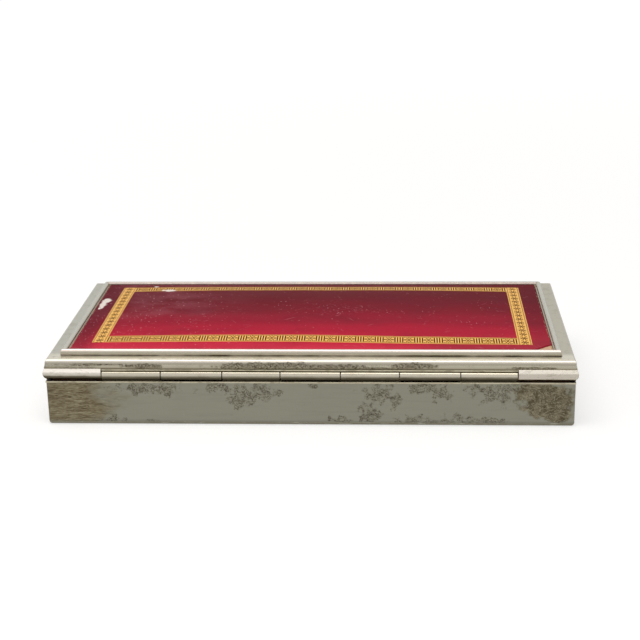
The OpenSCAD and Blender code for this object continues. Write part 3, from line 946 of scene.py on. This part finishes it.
def capsule(points, faces, start, length, radius, sides=6):
    """Adds a thin round stitch from a point along Y, with tapered ends."""
    first = len(points)
    rings = ((0.0, 0.25), (0.15, 0.9), (0.5, 1.0), (0.85, 0.9), (1.0, 0.25))
    for along, share in rings:
        sink = 0.12 * (2 * along - 1) ** 2
        for k in range(sides):
            turn = 2 * math.pi * k / sides
            points.append((start[0] + radius * share * math.cos(turn), start[1] + length * along,
                           start[2] + sink + radius * share * math.sin(turn)))
    last = first + (len(rings) - 1) * sides
    for a in range(first, last, sides):
        for k in range(sides):
            j = (k + 1) % sides
            faces.append((a + k, a + sides + k, a + sides + j, a + j))
    faces.append(tuple(first + k for k in range(sides)))
    faces.append(tuple(last + k for k in range(sides - 1, -1, -1)))


def make_lid_pad(satin, thread):
    """The satin lining of the lid, sewn into channels across it."""
    low, high = LID_PAD_LOW, LID_PAD_HIGH
    depth = high.z - low.z - 0.1
    xs = evenly(low.x, high.x, round((high.x - low.x) / SATIN_PITCH_X))
    ys = evenly(low.y, high.y, round((high.y - low.y) / SATIN_PITCH_Y))

    def lower(x, y):
        drop = max(0.06, min(1.0, lid_pad_drop(x, y, low, high)))
        return (x, y, high.z - 0.02 - depth * drop)

    pad = layer("satin_lid_pad", xs, ys, lambda x, y: (x, y, high.z - 0.01), lower, satin)
    points, faces = [], []
    for s in range(1, int((high.x - low.x) / CHANNEL) + 1):
        x = low.x + s * CHANNEL
        if x > high.x - 2.0:
            break
        for k in range(int((high.y - low.y - 2 * SEAM_MARGIN) / STITCH_PITCH)):
            y = low.y + SEAM_MARGIN + k * STITCH_PITCH
            drop = max(0.06, lid_pad_drop(x, y + STITCH / 2, low, high))
            start = (x, y, high.z - 0.02 - depth * drop - 0.02)
            capsule(points, faces, start, STITCH, STITCH_RADIUS)
    seam = new_object("lid_pad_stitches", points, faces, thread)
    smooth(seam)
    return pad, seam


def dress_cad(obj, material, edge):
    """Gives a CAD node its finish and eases its edges; the mesh itself stays as it is."""
    obj.data.materials.clear()
    obj.data.materials.append(material)
    if "custom_normal" in obj.data.attributes:
        obj.data.attributes.remove(obj.data.attributes["custom_normal"])
    smooth(obj)
    weld = obj.modifiers.new("weld", "WELD")
    weld.merge_threshold = 0.00001
    flat = obj.modifiers.new("flat_faces", "DECIMATE")
    flat.decimate_type = "DISSOLVE"
    flat.angle_limit = math.radians(0.2)
    if edge > 0:
        bevel = obj.modifiers.new("eased_edges", "BEVEL")
        bevel.width = edge * MM
        bevel.segments = 2
        bevel.limit_method = "ANGLE"
        bevel.angle_limit = math.radians(30.0)
        bevel.harden_normals = True
        bevel.use_clamp_overlap = True


# The chest

def dress_metal():
    """Finishes for the metal nodes, by how their names start, with the width of the eased edges."""
    moulding = moulding_finish()
    frames = frame_finish("plate_frame", srgb(212, 198, 190), srgb(206, 196, 183), GREY)
    # The front frame is darker and pinker: painted reflection of the dark room and the red leather
    frame_front = frame_finish("plate_frame_front", srgb(172, 163, 156), srgb(142, 128, 121),
                               srgb(164, 136, 128))
    frame_left = frame_finish("plate_frame_left", FILM, SIDE_SHADE, srgb(96, 80, 66))
    frame_right = frame_finish("plate_frame_right", FILM, SIDE_SHADE, srgb(150, 142, 124))
    beads = bead_finish("plate_bead", -0.2, CREAM, PALE)
    # The rear left bead has less painted shade on its underside and a softer painted highlight
    bead_less_shade = bead_finish("plate_bead_worn", -0.65, srgb(234, 224, 210), PALE)
    knuckles = bead_finish("plate_knuckle", -0.06, srgb(192, 184, 168), GREY, srgb(92, 84, 68))
    strip = strip_finish()
    # A later entry goes over an earlier one that fits the same node, and eases its edges once more
    finishes = {
        "moulding_": (moulding, 0.12), "bead_": (beads, 0.1), "frame_": (frames, 0.08),
        "frame_front": (frame_front, 0.08), "frame_left": (frame_left, 0.08),
        "frame_right": (frame_right, 0.08), "bead_rear_left": (bead_less_shade, 0.1),
        "body_knuckle_": (knuckles, 0.2), "lid_knuckle_": (knuckles, 0.2),
        "body_walls": (wall_finish(), 0.15), "base_plate": (base_finish(), 0.0),
        "rim_wire": (strip, 0.12), "body_bearer": (strip, 0.12), "lid_bearer": (strip, 0.1),
        "lid_plate": (inner_plate_finish(), 0.1), "hinge_pin": (pin_finish(), 0.1),
    }
    for name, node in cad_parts.items():
        for start, (material, edge) in finishes.items():
            if name.startswith(start):
                dress_cad(node, material, edge)


def dress_lining():
    along_x = wood_finish("cedar_long", (16, 1, 1))
    along_y = wood_finish("cedar_cross", (1, 16, 1))
    velvet = velvet_finish()
    for name in ("liner_floor", "liner_front", "liner_rear", "lid_board"):
        dress_cad(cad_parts[name], along_x, 0.35)
    for name in ("liner_left", "liner_right"):
        dress_cad(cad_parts[name], along_y, 0.35)
    for name in ("rack_left", "rack_right"):
        dress_cad(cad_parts[name], velvet, 1.1)
    pad = make_floor_pad(velvet)
    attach(pad, "box")
    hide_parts("floor_pad")
    satin, stitches = make_lid_pad(satin_finish(), thread_finish())
    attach(satin, "lid")
    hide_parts("lid_pad")
    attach(stitches, "lid")


def dress_panel():
    dress_cad(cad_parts["backing_board"], board_finish(), 0.15)
    leather = make_leather(leather_finish())
    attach(leather, "lid")
    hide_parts("leather_panel")
    wadding = make_wadding(wadding_finish())
    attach(wadding, "lid")
    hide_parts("wadding")
    for piece in make_border(foil_finish(), tooled_finish()):
        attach(piece, "lid")


# The studio, in metres

AMBIENT = 0.6
FLOOR_SIDE = 12.0


def light_path_share(tree):
    """1 for camera, glossy and transmission rays, and 0 for the light on the object."""
    path = add_node(tree, "LightPath")
    total = path.outputs["Is Camera Ray"]
    for name in ("Is Glossy Ray", "Is Transmission Ray"):
        sockets = {0: total, 1: path.outputs[name]}
        total = add_node(tree, "Math", sockets, operation="MAXIMUM").outputs[0]
    return total


def make_world():
    """White where it is seen or reflected, and a plain soft level of light on the object."""
    world = bpy.data.worlds.new("studio")
    bpy.context.scene.world = world
    tree = clean_tree(world)
    seen = add_node(tree, "Background", {"Color": (1, 1, 1, 1), "Strength": 1.0})
    ambient = add_node(tree, "Background", {
        "Color": (1.0, 0.985, 0.96, 1), "Strength": AMBIENT})
    mix = add_node(tree, "MixShader", {
        0: light_path_share(tree), 1: ambient.outputs[0], 2: seen.outputs[0]})
    add_node(tree, "OutputWorld", {"Surface": mix.outputs[0]})


def rectangle(name, width, height, material):
    """A flat piece of the studio, about its own middle."""
    w, h = width / 2 / MM, height / 2 / MM
    return new_object(name, [(-w, -h, 0), (w, -h, 0), (w, h, 0), (-w, h, 0)], [(0, 1, 2, 3)], material)


def make_floor():
    material = bpy.data.materials.new("floor_white")
    tree = clean_tree(material)
    # The floor brightens away from the chest, where less of the lamps' light reaches it
    place = add_node(tree, "TexCoord").outputs["Object"]
    away = add_node(tree, "VectorMath", {0: place}, operation="LENGTH").outputs["Value"]
    level = add_node(tree, "MapRange", {
        "Value": away, "From Min": 0.3, "From Max": 1.5, "To Min": 0.55, "To Max": 0.72})
    sockets = {0: level.outputs[0], 1: light_path_share(tree)}
    strength = add_node(tree, "Math", sockets, operation="MULTIPLY").outputs[0]
    glow = add_node(tree, "Emission", {"Strength": strength})
    diffuse = add_node(tree, "BsdfDiffuse", {"Color": (0.5, 0.5, 0.5, 1)})
    both = add_node(tree, "AddShader", {0: diffuse.outputs[0], 1: glow.outputs[0]})
    add_node(tree, "OutputMaterial", {"Surface": both.outputs[0]})
    floor = rectangle("floor", FLOOR_SIDE, FLOOR_SIDE, material)
    floor.location.z = -0.0001


def make_card(name, centre, width, height, tilt, grey):
    """A grey studio card that only reflections see."""
    material = bpy.data.materials.new(name)
    tree = clean_tree(material)
    glow = add_node(tree, "Emission", {"Color": (grey, grey, grey * 0.97, 1)})
    add_node(tree, "OutputMaterial", {"Surface": glow.outputs[0]})
    card = rectangle(name, width, height, material)
    card.location = centre
    card.rotation_euler = (math.radians(tilt), 0, 0)
    for ray in ("camera", "diffuse", "shadow", "transmission", "volume_scatter"):
        setattr(card, "visible_" + ray, False)


def make_lamp(name, at, to, width, height, watts, colour=(1, 1, 1)):
    data = bpy.data.lights.new(name, "AREA")
    data.shape = "RECTANGLE"
    data.size, data.size_y = width, height
    data.energy = watts
    data.color = colour
    lamp = bpy.data.objects.new(name, data)
    lamp.location = at
    lamp.rotation_mode = "QUATERNION"
    lamp.rotation_quaternion = (Vector(to) - Vector(at)).to_track_quat("-Z", "Y")
    bpy.context.scene.collection.objects.link(lamp)


def make_camera():
    """The photograph's camera: the place, direction, roll and lens that were fitted to it."""
    data = bpy.data.cameras.new("photo_view")
    data.sensor_width = SENSOR
    data.lens = SENSOR * FOCAL_PIXELS / PHOTO_SIDE
    data.clip_start, data.clip_end = 0.05, 30.0
    camera = bpy.data.objects.new("photo_view", data)
    right = CAMERA_LOOKS.cross(Vector((0, 0, 1))).normalized()
    up = right.cross(CAMERA_LOOKS)
    turned_right = right * math.cos(CAMERA_ROLL) + up * math.sin(CAMERA_ROLL)
    turned_up = up * math.cos(CAMERA_ROLL) - right * math.sin(CAMERA_ROLL)
    axes = Matrix((turned_right, turned_up, -CAMERA_LOOKS)).transposed().to_4x4()
    camera.matrix_world = Matrix.Translation(CAMERA_AT) @ axes
    bpy.context.scene.collection.objects.link(camera)
    bpy.context.scene.camera = camera


bpy.context.scene.view_settings.view_transform = "Standard"
make_camera()
make_world()
make_floor()
make_card("card_behind", centre=(0, -1.1, 0.34), width=4.0, height=0.62, tilt=90, grey=0.7)
make_card("card_floor", centre=(0, 0, 0.0003), width=4.0, height=4.0, tilt=0, grey=0.62)
make_lamp("softbox_above", at=(0.1, 0.25, 1.15), to=(0, 0.02, 0.0), width=1.3, height=0.7,
          watts=6.5, colour=(1.0, 0.98, 0.95))
make_lamp("softbox_side", at=(1.1, 0.7, 0.7), to=(0, 0, 0.02), width=0.5, height=0.7, watts=1.6)
dress_metal()
dress_lining()
dress_panel()
